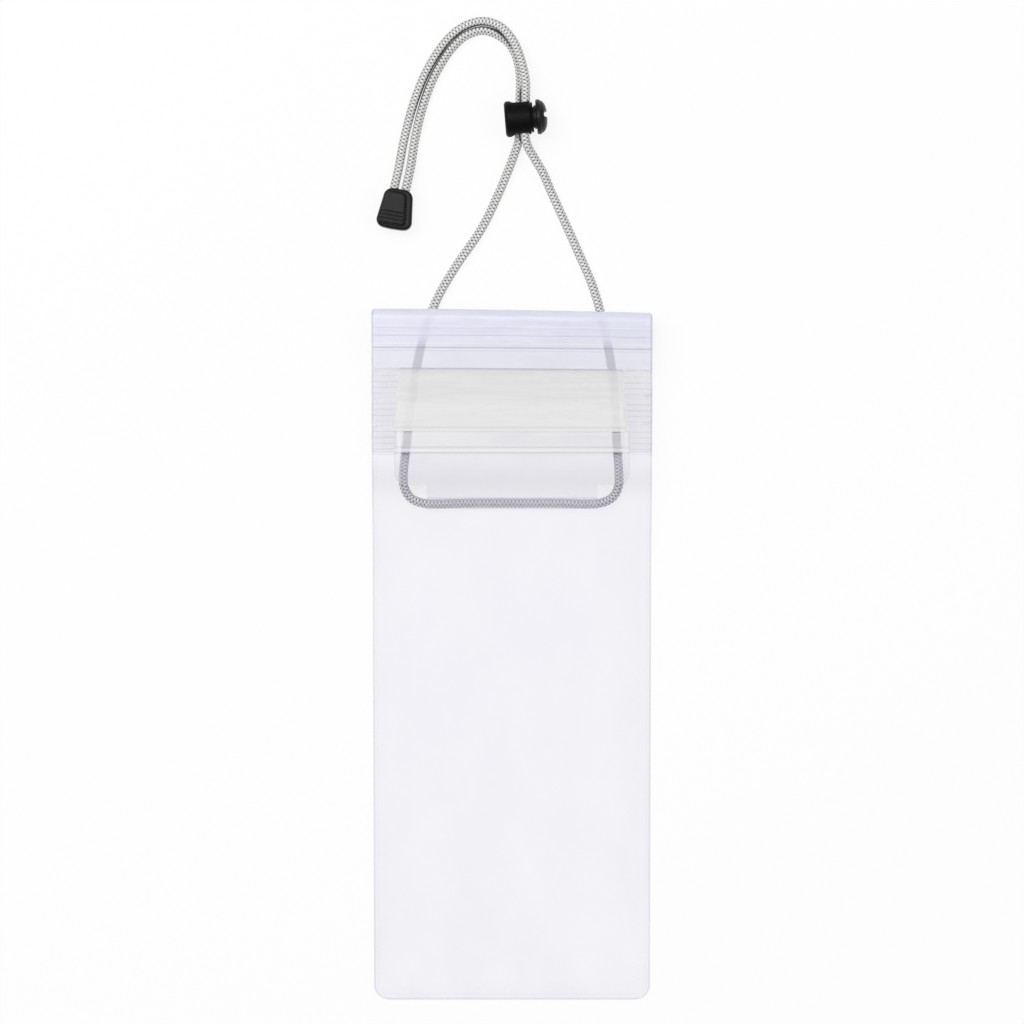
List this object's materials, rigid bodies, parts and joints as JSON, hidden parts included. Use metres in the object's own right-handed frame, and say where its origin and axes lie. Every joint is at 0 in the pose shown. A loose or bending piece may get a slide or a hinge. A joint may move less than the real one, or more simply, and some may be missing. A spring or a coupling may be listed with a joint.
{
  "type": "waterproof phone pouch",
  "caption": "Clear film pouch with a folded, zipped top for keeping a phone dry, on a braided neck cord with a push-button cord lock.",
  "frame": {"origin": "centre of the bounding box of the closed pouch, without its cord, on the surface that it lies on", "axes": "+Z out of the front sheet, up from the surface; +Y towards the folded top of the pouch; +X to the right of someone who looks at the front"},
  "size_m": [0.0958, 0.335, 0.0122],
  "materials": {
    "clear_film": "clear flexible film with a faint lavender tint, glossy",
    "zip_plastic": "clear flexible strip with a faint lavender tint, glossy",
    "milky_patch": "milky, translucent hook and loop tape",
    "braid": "round grey and white braid",
    "black_plastic": "satin black moulded plastic",
    "spring_steel": "bright spring wire"
  },
  "bodies": {
    "pouch": {"front_sheet": "clear_film", "back_sheet": "clear_film", "zip_upper_outer_strip": "zip_plastic", "zip_upper_inner_strip": "zip_plastic", "zip_middle_outer_strip": "zip_plastic", "zip_middle_inner_strip": "zip_plastic", "zip_lower_outer_strip": "zip_plastic", "zip_lower_inner_strip": "zip_plastic", "flap_hook_patch": "milky_patch", "back_loop_patch": "milky_patch", "cord_loop": "clear_film", "neck_cord": "braid", "lock_barrel": "black_plastic", "lock_spring": "spring_steel", "cord_end_shell": "black_plastic", "cord_end_cover": "black_plastic"},
    "button": {"lock_button": "black_plastic"}
  },
  "joints": [
    {"name": "button_press", "type": "slide", "parent": "pouch", "child": "button", "axis": [-1, 0, 0], "range_m": [0, 0.0011], "stiffness_N_per_m": 800, "springref_m": -0.002, "deforming": ["lock_spring"]}
  ]
}
